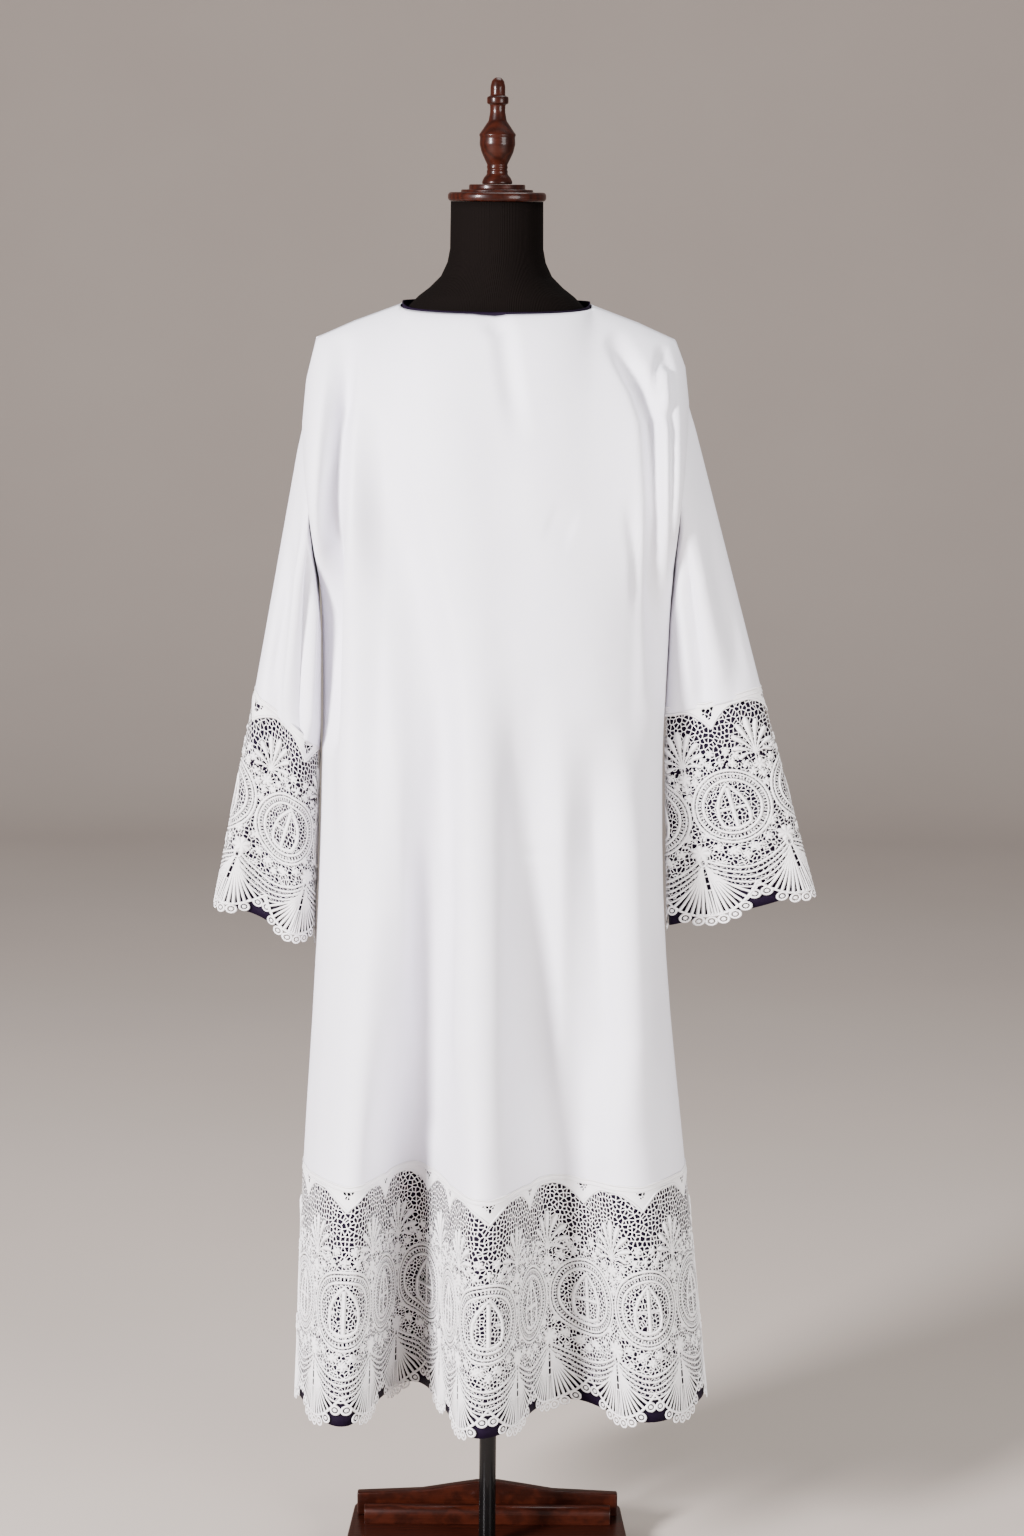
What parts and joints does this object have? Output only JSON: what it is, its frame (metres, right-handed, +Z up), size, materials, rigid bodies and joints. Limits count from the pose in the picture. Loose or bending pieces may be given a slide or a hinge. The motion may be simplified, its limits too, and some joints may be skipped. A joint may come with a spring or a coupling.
{
  "type": "lace-trimmed alb on a dress form stand",
  "caption": "Long white alb with dropped shoulders, flared sleeves and deep lace at hem and cuffs, worn by a black limbless dress form on a pole stand.",
  "frame": {"origin": "centre of the underside of the base, on the floor under the pole", "axes": "+Z up along the pole, -Y out of the alb's front, +X to the right as seen from the front"},
  "size_m": [0.7148, 0.351, 1.8286],
  "materials": {
    "cloth": "smooth white cotton, faint satin sheen, soft folds",
    "lace": "warm white machine lace with an uneven net ground and thick outlines",
    "lining": "very dark violet plain weave",
    "jersey": "near-black stretched jersey",
    "wood": "polished dark red-brown wood",
    "pole": "gloss black"
  },
  "bodies": {
    "root": {"alb_front": "cloth", "alb_back": "cloth", "sleeve_left": "cloth", "sleeve_right": "cloth", "hem_lace_front": "lace", "hem_lace_back": "lace", "cuff_lace_left_front": "lace", "cuff_lace_left_back": "lace", "cuff_lace_right_front": "lace", "cuff_lace_right_back": "lace", "hem_lining": "lining", "cuff_lining_left": "lining", "cuff_lining_right": "lining", "neck_facing": "lining", "form_torso": "jersey", "neck_cap": "wood", "finial": "wood", "pole": "pole", "pole_collar": "pole", "base_plinth": "wood", "base_rail": "wood", "base_back_board": "wood"}
  },
  "joints": []
}
